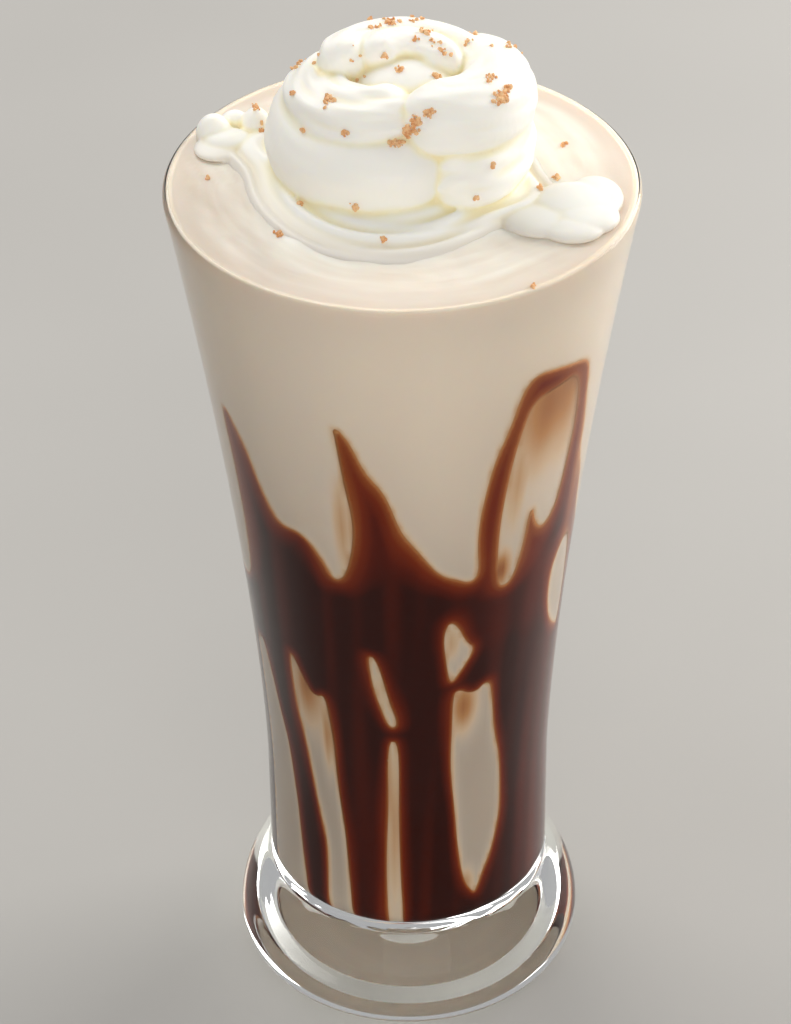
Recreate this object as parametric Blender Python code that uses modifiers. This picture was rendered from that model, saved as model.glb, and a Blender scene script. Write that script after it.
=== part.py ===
"""A chocolate banana smoothie in a footed glass, topped with whipped cream and crumbs.

The glass stands on z = 0 with its axis on Z. Lengths are in metres and angles in degrees.
Azimuth 0 is the front, which faces -Y, and azimuth grows towards +X.
"""

import math
import random

import bmesh
import bpy
from mathutils import Vector
from mathutils.bvhtree import BVHTree

# Glass
GLASS_HEIGHT = 0.170
RIM_RADIUS = 0.041
RIM_WALL = 0.0022
WAIST_RADIUS = 0.0267
WAIST_HEIGHT = 0.045
WAIST_WALL = 0.0026
FLARE_POWER = 1.5
FLOOR_HEIGHT = 0.019
FLOOR_CORNER = 0.005
FOOT_TOP = 0.0195
FOOT_RADIUS = 0.033
FOOT_EDGE_HEIGHT = 0.005
FOOT_CURVE = 0.8
STANDING_RADIUS = 0.030
DIMPLE_RADIUS = 0.022
DIMPLE_SLOPE = 0.003
DIMPLE_DEPTH = 0.0015
TURN_STEPS = 48
WALL_ROWS = 8

# Clearance between pieces that touch, and of the syrup's flat facets to the round wall
GAP = 0.0003
FACET_GAP = 0.00045

# Smoothie
LEVEL_AT_WALL = 0.1695
LEVEL_IN_MIDDLE = 0.1702
FLAT_RADIUS = 0.034

# Chocolate syrup on the inner wall
SYRUP_THICKNESS = 0.0012
SYRUP_BOTTOM = 0.0205
SYRUP_FOOT = FLOOR_HEIGHT + FLOOR_CORNER + SYRUP_THICKNESS
SYRUP_ROWS = 4
PRISM_DEPTH = 0.004
COLUMN_STEP = 9
# The runs lean to the side as they go down: degrees for each metre below a level
RUN_LEAN = 18
LEAN_LEVEL = 0.142
# Upper edge of the syrup across the front, as azimuth and height: tall runs and the dips between them
FRONT_EDGE = [
    (-74, 0.092), (-65, 0.096), (-62.5, 0.135), (-55, 0.129), (-46, 0.116), (-33, 0.115), (-22.5, 0.1055),
    (-19.5, 0.143), (-10, 0.132), (-2, 0.123), (6, 0.112), (16, 0.107), (23.5, 0.105), (25, 0.122),
    (29, 0.137), (36, 0.150), (58, 0.147), (64.5, 0.138), (67, 0.123), (76, 0.105),
]
# The same round the back, which the photograph doesn't show
BACK_EDGE = [
    (84, 0.100), (88, 0.104), (91, 0.128), (95, 0.112), (103, 0.1035), (112, 0.1015), (117, 0.117), (121, 0.138),
    (128, 0.121), (137, 0.106), (146, 0.104), (148, 0.118), (153, 0.139), (162, 0.144), (171, 0.141),
    (176, 0.124), (179, 0.107), (188, 0.101), (198, 0.106), (204, 0.115), (208.5, 0.133), (213, 0.118),
    (222, 0.103), (231, 0.1005), (236, 0.1085), (240, 0.125), (243, 0.147), (248, 0.126), (256, 0.110),
    (264, 0.1035), (270, 0.099), (276, 0.094),
]
# Bare places in the syrup across the front. OPEN_BELOW is under the syrup, so that the place is open downward.
OPEN_BELOW = 0.015
FRONT_GAPS = [
    [(-66, 0.080), (-63, 0.072), (-55, 0.057), (-50, 0.038), (-46, OPEN_BELOW), (-74, OPEN_BELOW), (-72, 0.080)],
    [(-48, 0.083), (-47, 0.070), (-41, 0.052), (-34, 0.035), (-33, OPEN_BELOW), (-22.5, OPEN_BELOW),
     (-24.5, 0.040), (-29, 0.058), (-31, 0.075), (-40, 0.080)],
    [(-13, 0.088), (-8, 0.073), (-2.5, 0.071), (-7, 0.082), (-10, 0.088)],
    [(-6, 0.066), (-6.5, 0.050), (-8, OPEN_BELOW), (0, OPEN_BELOW), (-2, 0.050), (-2.5, 0.066)],
    [(15, 0.095), (13.5, 0.091), (19, 0.0815), (23.5, 0.087), (19, 0.094)],
    [(19.5, 0.079), (18.5, 0.068), (21.5, 0.048), (26, 0.030), (31, 0.0255), (37, 0.032), (43.5, 0.044),
     (41, 0.058), (35, 0.074), (32, 0.0795)],
    [(61, 0.098), (61, 0.092), (66, 0.085), (75, 0.080), (76, 0.088), (72, 0.102), (66, 0.102)],
    [(33, 0.104), (32, 0.112), (33, 0.130), (37, 0.141), (45, 0.143), (53, 0.142), (57.5, 0.132),
     (57, 0.117), (50, 0.1115), (46.5, 0.1135), (43, 0.1185), (41.5, 0.112), (40, 0.103)],
]
BACK_GAPS = [
    [(97, 0.086), (93, 0.074), (94, 0.052), (96.5, OPEN_BELOW), (103, OPEN_BELOW), (101, 0.046), (101.5, 0.070)],
    [(113, 0.092), (110, 0.082), (112, 0.072), (116.5, 0.078), (116.5, 0.088)],
    [(127, 0.078), (123, 0.062), (121, 0.040), (121.5, OPEN_BELOW), (131, OPEN_BELOW), (130, 0.044),
     (131, 0.064)],
    [(150, 0.088), (146.5, 0.074), (148, 0.050), (150, 0.030), (154, 0.026), (157, 0.036), (158, 0.056),
     (155, 0.078)],
    [(153.5, 0.108), (153, 0.119), (156.5, 0.133), (162, 0.1385), (168, 0.135), (171, 0.121), (170, 0.109),
     (161, 0.1055)],
    [(176, 0.070), (173, 0.058), (174, OPEN_BELOW), (180.5, OPEN_BELOW), (180, 0.056)],
    [(197, 0.090), (192.5, 0.078), (193, 0.060), (196.5, 0.046), (200.5, 0.058), (202, 0.078)],
    [(219, 0.084), (214.5, 0.068), (213, 0.044), (212.5, OPEN_BELOW), (222.5, OPEN_BELOW), (223, 0.046),
     (223.5, 0.068)],
    [(240, 0.094), (237, 0.084), (239.5, 0.068), (243, 0.074), (243, 0.088)],
    [(256, 0.080), (252, 0.060), (252.5, 0.036), (255, OPEN_BELOW), (262, OPEN_BELOW), (261.5, 0.040),
     (262, 0.062)],
    [(275, 0.086), (272, 0.074), (273.5, 0.058), (278, 0.064), (278.5, 0.078)],
]

# Whipped cream: a melted skirt, folds piped round the middle, and dabs beside them
CREAM_BASE = LEVEL_IN_MIDDLE + GAP
SKIRT_CENTRE = (-0.002, 0.0)
SKIRT_RADIUS = 0.0265
SKIRT_HEIGHT = 0.0045
SKIRT_RIPPLE = 0.0008
SKIRT_EDGE_POWER = 1.6
# Where the skirt runs out to a dab: direction from +X towards +Y, extra reach, spread in degrees
SKIRT_LOBES = [(155, 0.0075, 13), (-18, 0.006, 17)]
# The mound that the folds lie on: centre and half sizes
CORE_CENTRE = (0.001, 0.003)
CORE_SIZES = (0.016, 0.014, 0.0205)
# Each fold is an arc about a centre: its angles from +X towards +Y, its distances from the centre and
# its heights above the drink at both ends, its rise halfway, and its thickness in radius at both ends
FOLDS = [
    dict(name="lower_left", centre=(-0.002, 0.003), angles=(55, 312), distances=(0.0145, 0.0108),
         heights=(0.0060, 0.0068), rise=0, radii=(0.0092, 0.0080)),
    dict(name="lower_right", centre=(0.001, 0.003), angles=(-78, 72), distances=(0.0126, 0.0138),
         heights=(0.0054, 0.0065), rise=0, radii=(0.0078, 0.0092)),
    dict(name="middle_left", centre=(-0.004, 0.003), angles=(80, 322), distances=(0.0108, 0.0078),
         heights=(0.0092, 0.0142), rise=0.0005, radii=(0.0078, 0.0064)),
    dict(name="middle_right", centre=(0.006, 0.003), angles=(-128, 85), distances=(0.0092, 0.0100),
         heights=(0.0156, 0.0132), rise=0, radii=(0.0066, 0.0078)),
    dict(name="top", centre=(0.001, 0.0), angles=(168, 8), distances=(0.0123, 0.0140),
         heights=(0.0196, 0.0166), rise=0.0004, radii=(0.0044, 0.0042)),
]
FOLD_POINTS = 13
FOLD_BEVEL = 4
BLUNT_END = 0.15
# Dabs: place, half sizes along X, Y and Z
DABS = [
    ((-0.0325, 0.0145), (0.0032, 0.0028, 0.0042)),
    ((-0.0252, 0.0165), (0.0028, 0.0030, 0.0042)),
    ((0.0288, -0.0092), (0.0076, 0.0066, 0.0021)),
    ((0.0282, -0.0165), (0.0054, 0.0044, 0.0014)),
]

# Crumbs on the cream
CRUMB_COUNT = 22
CRUMB_RADII = (0.0007, 0.0013)
CRUMB_REACH = 0.021
CRUMB_SINK = 0.45
CRUMB_SEED = 7
GOLDEN_ANGLE = math.radians(137.5)

MERGE = 0.00001


def steps(start, end, count):
    """Evenly spaced values from start to end, both included."""
    return [start + (end - start) * i / count for i in range(count + 1)]


def outer_radius(z):
    """The glass body's outer radius above the foot: straight to the waist, then flaring to the rim."""
    share = max(0.0, z - WAIST_HEIGHT) / (GLASS_HEIGHT - WAIST_HEIGHT)
    return WAIST_RADIUS + (RIM_RADIUS - WAIST_RADIUS) * share**FLARE_POWER


def inner_radius(z):
    """The glass's inner radius, with the rounded corner above the floor."""
    wall = WAIST_WALL + (RIM_WALL - WAIST_WALL) * z / GLASS_HEIGHT
    below = min(max(FLOOR_HEIGHT + FLOOR_CORNER - z, 0.0), FLOOR_CORNER)
    return outer_radius(z) - wall - FLOOR_CORNER + math.sqrt(FLOOR_CORNER**2 - below**2)


def filling_radius(z, inset):
    """The radius at height z of a surface that runs inset inside the glass's inner face."""
    return inner_radius(z - inset) - inset


def at_azimuth(azimuth, radius, z):
    angle = math.radians(azimuth)
    return Vector((radius * math.sin(angle), -radius * math.cos(angle), z))


def corner_heights(floor):
    """Heights up the rounded corner at the bottom of the inside."""
    return [floor + FLOOR_CORNER * (1 - math.cos(math.radians(a))) for a in (0, 35, 62, 90)]


def material(name, colour, roughness, transmission=0.0):
    made = bpy.data.materials.new(name)
    made.use_nodes = True
    shader = made.node_tree.nodes["Principled BSDF"]
    shader.inputs["Base Color"].default_value = (*colour, 1)
    shader.inputs["Roughness"].default_value = roughness
    shader.inputs["Metallic"].default_value = 0.0
    shader.inputs["Transmission Weight"].default_value = transmission
    made.diffuse_color = (*colour, 1 - 0.6 * transmission)
    return made


def collection(name):
    made = bpy.data.collections.new(name)
    bpy.context.scene.collection.children.link(made)
    return made


def add_object(name, mesh, where, made_of=None):
    body = bpy.data.objects.new(name, mesh)
    where.objects.link(body)
    if made_of:
        mesh.materials.append(made_of)
    return body


def cutter(name, mesh, where):
    body = add_object(name, mesh, where)
    body.hide_render = True
    body.display_type = "WIRE"
    return body


def turned(name, profile, where, made_of):
    """A body turned about Z from a profile that runs down its outer side."""
    mesh = bpy.data.meshes.new(name)
    mesh.from_pydata([(r, 0, z) for r, z in profile], [(i, i + 1) for i in range(len(profile) - 1)], [])
    body = add_object(name, mesh, where, made_of)
    screw = body.modifiers.new("Turn", "SCREW")
    screw.steps = TURN_STEPS
    screw.render_steps = TURN_STEPS
    screw.use_merge_vertices = True
    screw.merge_threshold = MERGE
    screw.use_smooth_shade = True
    return body


def mesh_of(name, build):
    """A new mesh filled by build(bmesh), with its faces pointing out."""
    shape = bmesh.new()
    build(shape)
    bmesh.ops.recalc_face_normals(shape, faces=shape.faces)
    mesh = bpy.data.meshes.new(name)
    shape.to_mesh(mesh)
    shape.free()
    return mesh


def ring_mesh(name, sections):
    """A closed ring lofted through sections of equal point count that stand round the axis."""

    def build(shape):
        loops = [[shape.verts.new(point) for point in section] for section in sections]
        for here, there in zip(loops, loops[1:] + loops[:1]):
            for i in range(len(here)):
                shape.faces.new((here[i - 1], here[i], there[i]))
                shape.faces.new((here[i - 1], there[i], there[i - 1]))

    return mesh_of(name, build)


def radial_prism(name, outline):
    """A prism through the syrup whose section is an outline of azimuths and heights."""

    def build(shape):
        inner = [shape.verts.new(at_azimuth(a, filling_radius(z, PRISM_DEPTH), z)) for a, z in outline]
        outer = [shape.verts.new(at_azimuth(a, outer_radius(z), z)) for a, z in outline]
        shape.faces.new(inner)
        shape.faces.new(outer[::-1])
        for i in range(len(outline)):
            shape.faces.new((inner[i - 1], inner[i], outer[i]))
            shape.faces.new((inner[i - 1], outer[i], outer[i - 1]))

    return mesh_of(name, build)


def boolean(body, operation, other):
    """Cuts or joins with another object, or with all objects of a collection."""
    modifier = body.modifiers.new(operation.title(), "BOOLEAN")
    modifier.operation = operation
    if isinstance(other, bpy.types.Collection):
        modifier.operand_type = "COLLECTION"
        modifier.collection = other
    else:
        modifier.object = other


def real_mesh(body):
    """The mesh that an object's modifiers or curve settings make, with loose caps welded."""
    bpy.context.view_layer.update()
    graph = bpy.context.evaluated_depsgraph_get()
    mesh = bpy.data.meshes.new_from_object(body.evaluated_get(graph))
    shape = bmesh.new()
    shape.from_mesh(mesh)
    bmesh.ops.remove_doubles(shape, verts=shape.verts, dist=MERGE)
    shape.to_mesh(mesh)
    shape.free()
    return mesh


def keep_largest(mesh):
    """Drops loose scraps and the walls of sealed hollows, which leaves the one outer body."""
    shape = bmesh.new()
    shape.from_mesh(mesh)
    unseen, islands = set(shape.verts), []
    while unseen:
        front = [unseen.pop()]
        island = set(front)
        while front:
            vert = front.pop()
            for edge in vert.link_edges:
                other = edge.other_vert(vert)
                if other in unseen:
                    unseen.remove(other)
                    island.add(other)
                    front.append(other)
        islands.append(island)
    islands.sort(key=len)
    for island in islands[:-1]:
        bmesh.ops.delete(shape, geom=list(island), context="VERTS")
    shape.to_mesh(mesh)
    shape.free()


def fuse(name, pieces):
    """One mesh from overlapping closed objects, which are removed."""
    others = collection(name + "_pieces")
    for piece in pieces[1:]:
        for holder in piece.users_collection:
            holder.objects.unlink(piece)
        others.objects.link(piece)
    boolean(pieces[0], "UNION", others)
    mesh = real_mesh(pieces[0])
    keep_largest(mesh)
    mesh.name = name
    for piece in pieces:
        bpy.data.objects.remove(piece)
    bpy.data.collections.remove(others)
    return mesh


def glass_profile():
    """The glass's section: up its inside, over the lip, down its outside and under the foot."""
    lip = RIM_WALL / 2
    lip_height = GLASS_HEIGHT - lip
    lip_centre = (inner_radius(lip_height) + outer_radius(lip_height)) / 2
    points = [(0, FLOOR_HEIGHT)]
    points += [(inner_radius(z), z) for z in corner_heights(FLOOR_HEIGHT)]
    points += [(inner_radius(z), z) for z in steps(FLOOR_HEIGHT + FLOOR_CORNER, lip_height, WALL_ROWS)[1:]]
    for angle in (135, 90, 45):
        turn = math.radians(angle)
        points.append((lip_centre + lip * math.cos(turn), lip_height + lip * math.sin(turn)))
    points += [(outer_radius(z), z) for z in steps(lip_height, FOOT_TOP, WALL_ROWS)]
    for share in (even**1.5 for even in steps(0, 1, 6)[1:]):
        swell = math.sin(share * math.pi / 2) ** FOOT_CURVE
        radius = WAIST_RADIUS + (FOOT_RADIUS - WAIST_RADIUS) * swell
        points.append((radius, FOOT_TOP + (FOOT_EDGE_HEIGHT - FOOT_TOP) * share))
    for angle in (30, 60, 90):
        turn = math.radians(angle)
        radius = STANDING_RADIUS + (FOOT_RADIUS - STANDING_RADIUS) * math.cos(turn)
        points.append((radius, FOOT_EDGE_HEIGHT * (1 - math.sin(turn))))
    points += [(DIMPLE_RADIUS, 0), (DIMPLE_RADIUS - DIMPLE_SLOPE, DIMPLE_DEPTH), (0, DIMPLE_DEPTH)]
    return points


def smoothie_profile():
    """The drink's section, from the middle of its top out to the wall and down to the floor."""
    floor = FLOOR_HEIGHT + GAP
    points = [(0, LEVEL_IN_MIDDLE), (FLAT_RADIUS, LEVEL_IN_MIDDLE)]
    rows = steps(LEVEL_AT_WALL, floor + FLOOR_CORNER, WALL_ROWS)
    rows += corner_heights(floor)[-2::-1]
    points += [(filling_radius(z, GAP), z) for z in rows]
    return points + [(0, floor)]


def syrup_edge():
    """The whole upper edge as azimuths from -74 to 286 and heights, in order round the glass."""
    first = FRONT_EDGE[0]
    return FRONT_EDGE + BACK_EDGE + [(first[0] + 360, first[1])]


def leant(azimuth, height):
    """Where the lean of the runs takes a place on the unrolled wall."""
    return azimuth + RUN_LEAN * (height - LEAN_LEVEL)


def edge_height(edge, azimuth):
    turn = (azimuth - edge[0][0]) % 360 + edge[0][0]
    for (a, low), (b, high) in zip(edge, edge[1:]):
        if turn <= b:
            return low + (high - low) * (turn - a) / (b - a)
    return edge[-1][1]


def syrup_ring(name, margin):
    """The syrup before its bare places are cut. With a margin it is the larger pocket that it lies in."""
    edge = syrup_edge()
    azimuths = {round(a, 2) for a, _ in edge[:-1]}
    for azimuth in steps(edge[0][0], edge[-1][0], round(360 / COLUMN_STEP))[:-1]:
        if min(abs(azimuth - a) for a in azimuths) > COLUMN_STEP / 4:
            azimuths.add(azimuth)
    reach = math.degrees(margin / WAIST_RADIUS)
    outside = FACET_GAP - 3 * margin
    inside = FACET_GAP + SYRUP_THICKNESS + margin
    sections = []
    for azimuth in sorted(azimuths):
        top = max(edge_height(edge, azimuth + shift) for shift in (-reach, 0, reach)) + margin
        heights = [SYRUP_BOTTOM - margin] + steps(SYRUP_FOOT, top, SYRUP_ROWS)
        section = [at_azimuth(leant(azimuth, z), filling_radius(z, outside), z) for z in heights]
        section += [at_azimuth(leant(azimuth, z), filling_radius(z, inside), z) for z in heights[::-1]]
        sections.append(section)
    return ring_mesh(name, sections)


def shrunk(outline, margin):
    """The outline drawn in by the margin, on the unrolled wall."""
    metres_per_degree = math.radians(WAIST_RADIUS)
    flat = [Vector((a * metres_per_degree, z)) for a, z in outline]
    turn = sum(p.x * q.y - q.x * p.y for p, q in zip(flat[-1:] + flat[:-1], flat))
    points = []
    for before, here, after in zip(flat[-1:] + flat[:-1], flat, flat[1:] + flat[:1]):
        first, second = (here - before).normalized(), (after - here).normalized()
        inward = Vector((-(first + second).y, (first + second).x)).normalized() * math.copysign(1, turn)
        lean = max(0.5, inward.dot(Vector((-first.y, first.x)) * math.copysign(1, turn)))
        moved = here + inward * margin / lean
        points.append((moved.x / metres_per_degree, moved.y))
    return points


def gap_cutters(name, margin):
    where = collection(name)
    for i, outline in enumerate(FRONT_GAPS + BACK_GAPS):
        outline = shrunk([(leant(azimuth, height), height) for azimuth, height in outline], margin)
        cutter(f"{name}_{i}", radial_prism(f"{name}_{i}", outline), where)
    return where


def make_syrup(where, made_of):
    syrup = add_object("chocolate_syrup", syrup_ring("chocolate_syrup", 0), where, made_of)
    boolean(syrup, "DIFFERENCE", gap_cutters("bare_places", 0))


def make_smoothie(where, made_of, cutters):
    smoothie = turned("smoothie", smoothie_profile(), where, made_of)
    pocket = cutter("syrup_pocket", syrup_ring("syrup_pocket", GAP), cutters)
    boolean(pocket, "DIFFERENCE", gap_cutters("pocket_bare_places", GAP))
    boolean(smoothie, "DIFFERENCE", pocket)


def skirt_radius(direction):
    """The melted skirt's reach in a direction from +X towards +Y, in degrees."""
    reach = SKIRT_RADIUS + SKIRT_RIPPLE * math.sin(math.radians(3 * direction))
    for towards, extra, spread in SKIRT_LOBES:
        away = (direction - towards + 180) % 360 - 180
        reach += extra * math.exp(-((away / spread) ** 2))
    return reach


def make_skirt(where):
    """A low dome with a flat underside, from a sphere drawn out to the skirt's reach."""

    def build(shape):
        bmesh.ops.create_uvsphere(shape, u_segments=32, v_segments=8, radius=1)
        for vert in shape.verts:
            flat = math.hypot(vert.co.x, vert.co.y)
            direction = math.degrees(math.atan2(vert.co.y, vert.co.x))
            reach = skirt_radius(direction) * flat
            turn = math.radians(direction)
            vert.co.z = CREAM_BASE + SKIRT_HEIGHT * max(vert.co.z, 0) ** SKIRT_EDGE_POWER
            vert.co.x = SKIRT_CENTRE[0] + reach * math.cos(turn)
            vert.co.y = SKIRT_CENTRE[1] + reach * math.sin(turn)

    return add_object("skirt", mesh_of("skirt", build), where)


def fold_points(fold):
    """Points along a fold's middle, each with the thickness there as a radius, closer at its round ends."""

    def between(name, share):
        start, end = fold[name]
        return start + (end - start) * share

    length = math.radians(abs(fold["angles"][1] - fold["angles"][0])) * between("distances", 0.5)
    points = []
    for turn in steps(0, math.pi, FOLD_POINTS):
        share = (1 - math.cos(turn)) / 2
        angle = math.radians(between("angles", share))
        distance = between("distances", share)
        height = between("heights", share) + fold["rise"] * math.sin(share * math.pi)
        radius = between("radii", share)
        to_end = min(share, 1 - share) * length / radius
        if to_end < 1:
            radius *= max(BLUNT_END, math.sqrt(1 - (1 - to_end) ** 2))
        x = fold["centre"][0] + distance * math.cos(angle)
        y = fold["centre"][1] + distance * math.sin(angle)
        points.append((Vector((x, y, CREAM_BASE + height)), radius))
    return points


def make_fold(fold, where):
    """A rope of cream: a curve with a bevel, made a mesh, cut level with the cream's base."""
    curve = bpy.data.curves.new(fold["name"], "CURVE")
    curve.dimensions = "3D"
    curve.bevel_depth = 1.0
    curve.bevel_resolution = FOLD_BEVEL
    curve.use_fill_caps = True
    points = fold_points(fold)
    spline = curve.splines.new("POLY")
    spline.points.add(len(points) - 1)
    for place, (centre, radius) in zip(spline.points, points):
        place.co = (*centre, 1)
        place.radius = radius
    rope = add_object(fold["name"] + "_curve", curve, where)
    mesh = real_mesh(rope)
    bpy.data.objects.remove(rope)
    for vert in mesh.vertices:
        vert.co.z = max(vert.co.z, CREAM_BASE + SKIRT_HEIGHT * 0.2)
    return add_object(fold["name"], mesh, where)


def make_ball(name, centre, sizes, where, subdivisions):
    def build(shape):
        bmesh.ops.create_icosphere(shape, subdivisions=subdivisions, radius=1)
        for vert in shape.verts:
            vert.co = Vector(c + s * v for c, s, v in zip(centre, sizes, vert.co))
            vert.co.z = max(vert.co.z, CREAM_BASE + GAP)

    return add_object(name, mesh_of(name, build), where)


def make_crumbs(cream, where):
    """Crumbs strewn over the cream along a golden spiral, each sunk a little into its surface."""
    draw = random.Random(CRUMB_SEED)
    shape = bmesh.new()
    shape.from_mesh(cream)
    surface = BVHTree.FromBMesh(shape)
    shape.free()
    crumbs = []
    for i in range(CRUMB_COUNT):
        distance = CRUMB_REACH * math.sqrt((i + 0.5) / CRUMB_COUNT)
        angle = i * GOLDEN_ANGLE + draw.uniform(-0.3, 0.3)
        start = Vector((distance * math.cos(angle), distance * math.sin(angle), 2 * GLASS_HEIGHT))
        place, normal, _, _ = surface.ray_cast(start, Vector((0, 0, -1)))
        radius = draw.uniform(*CRUMB_RADII)
        centre = place + normal * radius * (1 - 2 * CRUMB_SINK)
        sizes = (radius * draw.uniform(0.8, 1.4), radius * draw.uniform(0.8, 1.4), radius)
        crumbs.append(make_ball(f"crumb_{i}", centre, sizes, where, 1))
    return crumbs


def make_cream(where, made_of, workshop):
    pieces = [make_skirt(workshop)]
    pieces.append(make_ball("core", (*CORE_CENTRE, CREAM_BASE), CORE_SIZES, workshop, 3))
    pieces += [make_fold(fold, workshop) for fold in FOLDS]
    for i, ((x, y), sizes) in enumerate(DABS):
        pieces.append(make_ball(f"dab_{i}", (x, y, CREAM_BASE), sizes, workshop, 2))
    bare = fuse("bare_cream", pieces)
    pieces = [add_object("bare_cream", bare, workshop)] + make_crumbs(bare, workshop)
    cream = add_object("whipped_cream", fuse("whipped_cream", pieces), where, made_of)
    cream.data.shade_smooth()
    cream.data.set_sharp_from_angle(angle=math.radians(50))


def main():
    for old in list(bpy.data.objects):
        bpy.data.objects.remove(old)
    parts = collection("chocolate_banana_smoothie")
    cutters = collection("cutters")
    workshop = collection("workshop")
    turned("glass", glass_profile(), parts, material("glass", (0.93, 0.95, 0.95), 0.02, 1.0))
    make_syrup(parts, material("chocolate_syrup", (0.045, 0.012, 0.006), 0.25))
    make_smoothie(parts, material("smoothie", (0.68, 0.53, 0.44), 0.4), cutters)
    make_cream(parts, material("whipped_cream", (0.90, 0.84, 0.70), 0.45), workshop)
    bpy.data.collections.remove(workshop)


main()
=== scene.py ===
import math
import random

import bmesh
import bpy
import numpy as np
from mathutils import Euler, Matrix, Vector, noise
from mathutils.bvhtree import BVHTree


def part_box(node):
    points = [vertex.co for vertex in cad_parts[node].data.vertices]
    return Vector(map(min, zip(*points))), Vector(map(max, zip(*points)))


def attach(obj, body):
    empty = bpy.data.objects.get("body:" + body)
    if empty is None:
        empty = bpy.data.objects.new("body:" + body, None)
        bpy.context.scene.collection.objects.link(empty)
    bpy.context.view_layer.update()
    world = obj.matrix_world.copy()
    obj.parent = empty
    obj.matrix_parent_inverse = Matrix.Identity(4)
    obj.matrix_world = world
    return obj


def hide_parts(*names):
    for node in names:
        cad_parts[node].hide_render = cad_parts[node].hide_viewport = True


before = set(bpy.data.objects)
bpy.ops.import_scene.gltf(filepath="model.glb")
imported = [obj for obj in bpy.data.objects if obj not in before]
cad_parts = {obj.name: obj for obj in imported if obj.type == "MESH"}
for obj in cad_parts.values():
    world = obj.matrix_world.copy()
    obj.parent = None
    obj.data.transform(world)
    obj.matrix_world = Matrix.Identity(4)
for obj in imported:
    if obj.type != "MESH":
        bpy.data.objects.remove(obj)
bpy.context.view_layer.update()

# The glass's own sizes, in metres. Height and radii come from the frame.
GLASS_LOW, GLASS_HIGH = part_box("glass")
GLASS_HEIGHT = GLASS_HIGH[2]
RIM_RADIUS = 0.041
RIM_WALL = 0.0022
WAIST_RADIUS = 0.0267
WAIST_HEIGHT = 0.045
WAIST_WALL = 0.0026
FLARE_POWER = 1.5
FLOOR_HEIGHT = 0.019
FLOOR_CORNER = 0.005
FOOT_TOP = 0.0195
FOOT_RADIUS = 0.033
FOOT_EDGE_HEIGHT = 0.005
FOOT_CURVE = 0.8
STANDING_RADIUS = 0.030
DIMPLE_RADIUS = 0.022
DIMPLE_SLOPE = 0.003
DIMPLE_DEPTH = 0.0015
# Soft rings pressed into the underside
RIPPLE_LENGTH = 0.0062
RIPPLE_HEIGHT = 0.00009
# A second set of rings, with its length and height as shares of the first
RIPPLE_SECOND_LENGTH = 0.57
RIPPLE_SECOND_HEIGHT = 0.6
# How finely the turned bodies are cut: round the axis, and along their sections
TURN_STEPS = 180
FLOOR_STEPS = 6
ARC_STEPS = 12
WALL_STEPS = 44
FOOT_STEPS = 30
RING_STEPS = 4
DIMPLE_STEPS = 8
UNDERSIDE_STEPS = 56
DRINK_TOP_STEPS = 70
DRINK_WALL_STEPS = 190
DRINK_CORNER_STEPS = 14
# Rows of the foot lie closer together near its top
FOOT_ROW_POWER = 1.5

# How far the drink and the syrup reach into the glass, so that no air gap shows
DRINK_OVERLAP = 0.0002
# The share of it that is left outward and downward in the floor's rounded corner
CORNER_SHARE = 0.7
BRIM_OVERLAP = 0.0014
SYRUP_OVERLAP = 0.00045

# Drink
DRINK_LEVEL = 0.1698
DRINK_DOME = 0.0006
DRINK_RELIEF = 0.00035
BRIM_START = 0.158
# Lumps of its top for each metre, and the width beside the wall that stays calm
RELIEF_SCALE = 130
CALM_WIDTH = 0.006
# Fractal noise: how fast its layers fade, the step between their scales, and how many there are
FRACTAL = (1.0, 2.0, 3)
# Cream that has melted into the top: its reach in skirt radii, its strength, and its streaks
MELT_REACH = 1.62
MELT_STRENGTH = 0.85
MELT_STREAKS = 0.45
STREAKS_OUTWARD = 9
STREAKS_ROUND = 1.5
STREAKS_LAYER = 3
# Heights between which the drink changes from its darker colour low down, partly painted shade and partly a
# chocolate tint, to its own
LOW_SHADE_HEIGHTS = (0.058, 0.168)
# The syrup's stain starts just above the drink's floor and ends a little above the syrup
STAIN_ABOVE_FLOOR = 0.0015
STAIN_ABOVE_SYRUP = 0.004

# Syrup: spacing of its mesh, and its depth behind the glass
SYRUP_SPACING = 0.00048
SYRUP_COLUMNS = 380
SYRUP_DEPTH = 0.0010
SYRUP_TOP_LIMIT = 0.152
SYRUP_ABOVE_FLOOR = 0.0002
SYRUP_SEED = 4
METRES_PER_DEGREE = math.radians(0.0262)
SLOPE_STEP = 0.0001
# A mesh point within this many spacings of the outline moves onto it, and its slope squared has a least value
SNAP_REACH = 1.1
SLOPE_FLOOR = 0.25
# Random waves over the wall: how many are added up, how often each goes round, its climb, and its start
WAVES = 14
WAVES_ROUND = (6, 34)
WAVES_CLIMB = 260
RANDOM_TURN = 6.28
# How much of a corner is cut off from an outline, twice over
CORNER_CUT = 0.25
# The band of syrup is closed this far to both sides, in degrees, and at this height under the glass
BAND_MARGIN = 20
BAND_BOTTOM = -0.05
# Thickness from 0 to 1: at the edge, and the distance from there to the full core, which is longer high up
EDGE_THICKNESS = 0.27
CORE_REACH = 0.0026
CORE_REACH_HIGH = 0.0034
HIGH_RUNS = (0.092, 0.108)
CORE_POWER = 0.8
# Waves of the edge in metres, and waves of the thickness, drawn out along the runs
EDGE_WAVES = 0.00020
CORE_WAVES = 0.10
CORE_WAVES_STRETCH = 0.30
# Painted light: the syrup is drawn thinner, so lighter and redder, in the right runs and on the right side,
# standing in for light from the right shining through it: how much, and where that sets in and ends
RUN_PAINTED_LIGHT = 0.14
RUN_PAINTED_LIGHT_AZIMUTHS = (12, 30)
RUN_PAINTED_LIGHT_HEIGHTS = (0.084, 0.092)
SIDE_PAINTED_LIGHT = 0.22
SIDE_PAINTED_LIGHT_START = (40, 66)
SIDE_PAINTED_LIGHT_END = (90, 120)
# The runs lean to the side as they go down: degrees for each metre below a level
RUN_LEAN = 18
LEAN_LEVEL = 0.142
OPEN_BELOW = 0.010
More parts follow.
